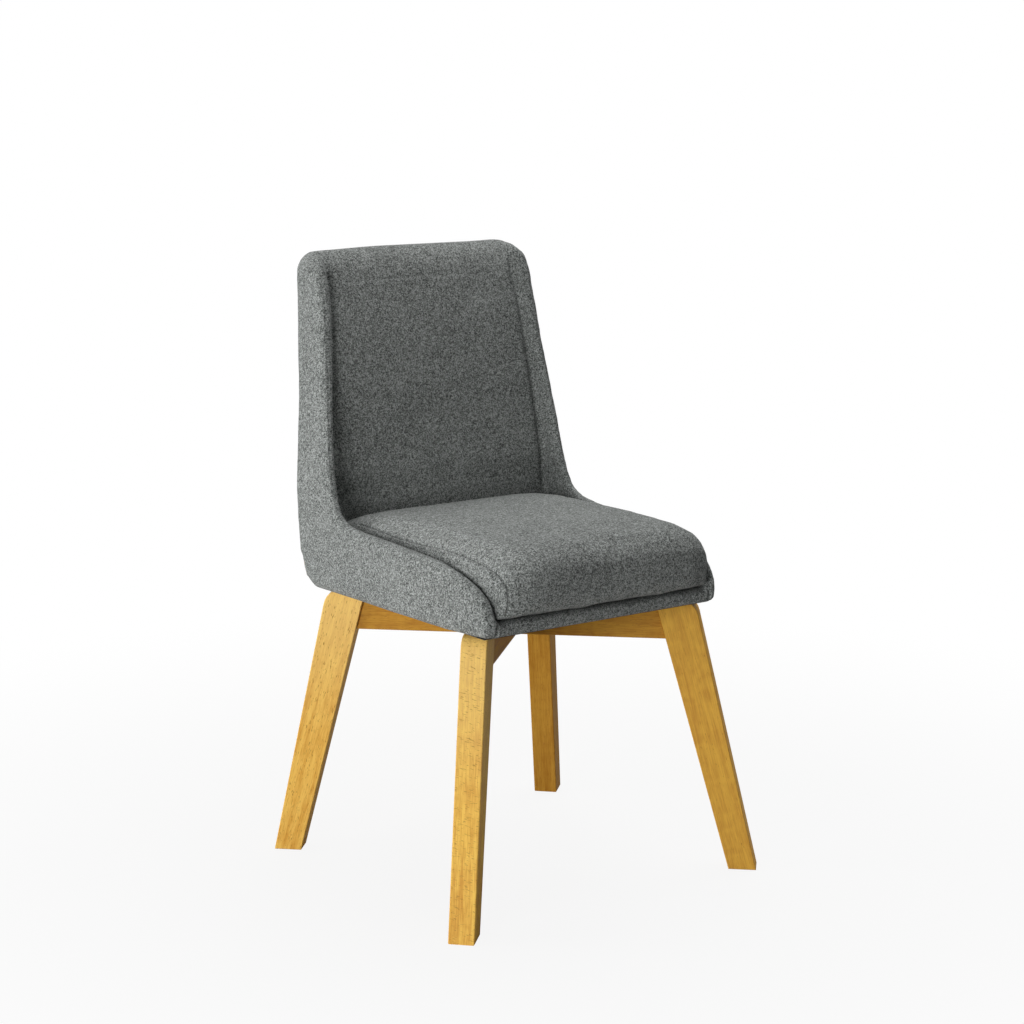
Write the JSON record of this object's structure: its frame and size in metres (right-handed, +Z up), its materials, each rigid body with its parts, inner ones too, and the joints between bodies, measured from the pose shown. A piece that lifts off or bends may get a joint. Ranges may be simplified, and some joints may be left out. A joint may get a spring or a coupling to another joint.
{
  "type": "parsons chair",
  "caption": "Armless upholstered dining chair with low side wings that run from the back round the seat, on a crossed wooden base with splayed legs.",
  "frame": {"origin": "on the floor, under the middle of the chair's width and depth", "axes": "+Z up, -Y towards the sitter's feet (the front of the chair), +X to the sitter's left, which is the right of somebody who looks at the chair from the front"},
  "size_m": [0.5202, 0.5133, 0.842],
  "materials": {
    "beech": "satin lacquer over straight-grained beech with short dark flecks",
    "inner_wood": "sawn, unlacquered",
    "plywood": "sanded, unlacquered",
    "fibreboard": "plain",
    "wool_felt": "felted wool, mid grey with light and dark flecks",
    "foam": "open-cell foam",
    "webbing": "woven elastic",
    "dust_cloth": "thin felted sheet",
    "zinc_steel": "zinc plated"
  },
  "bodies": {
    "root": {"cross_rail_lower": "beech", "leg_front_left": "beech", "dowel_front_left_lower": "inner_wood", "dowel_front_left_upper": "inner_wood", "base_bolt_front_left": "zinc_steel", "base_washer_front_left": "zinc_steel", "tee_nut_front_left": "zinc_steel", "leg_rear_right": "beech", "dowel_rear_right_lower": "inner_wood", "dowel_rear_right_upper": "inner_wood", "base_bolt_rear_right": "zinc_steel", "base_washer_rear_right": "zinc_steel", "tee_nut_rear_right": "zinc_steel", "cross_rail_upper": "beech", "leg_front_right": "beech", "dowel_front_right_lower": "inner_wood", "dowel_front_right_upper": "inner_wood", "base_bolt_front_right": "zinc_steel", "base_washer_front_right": "zinc_steel", "tee_nut_front_right": "zinc_steel", "leg_rear_left": "beech", "dowel_rear_left_lower": "inner_wood", "dowel_rear_left_upper": "inner_wood", "base_bolt_rear_left": "zinc_steel", "base_washer_rear_left": "zinc_steel", "tee_nut_rear_left": "zinc_steel", "wing_cover_left": "wool_felt", "wing_cover_right": "wool_felt", "wing_foam_left": "foam", "wing_foam_right": "foam", "cheek_left": "plywood", "cheek_right": "plywood", "screw_top_rail_left": "zinc_steel", "screw_top_rail_right": "zinc_steel", "screw_lower_rail_left": "zinc_steel", "screw_lower_rail_right": "zinc_steel", "screw_rear_rail_left": "zinc_steel", "screw_rear_rail_right": "zinc_steel", "screw_board_front_left": "zinc_steel", "screw_board_front_right": "zinc_steel", "screw_board_rear_left": "zinc_steel", "screw_board_rear_right": "zinc_steel", "back_top_rail": "inner_wood", "back_lower_rail": "inner_wood", "seat_rear_rail": "inner_wood", "back_webbing_left": "webbing", "back_webbing_middle": "webbing", "back_webbing_right": "webbing", "back_foam": "foam", "back_board": "fibreboard", "inner_back_cover": "wool_felt", "outer_back_cover": "wool_felt", "seat_board": "plywood", "front_band": "wool_felt", "dust_cover": "dust_cloth", "seat_cushion_cover": "wool_felt", "seat_cushion_foam": "foam"}
  },
  "joints": []
}
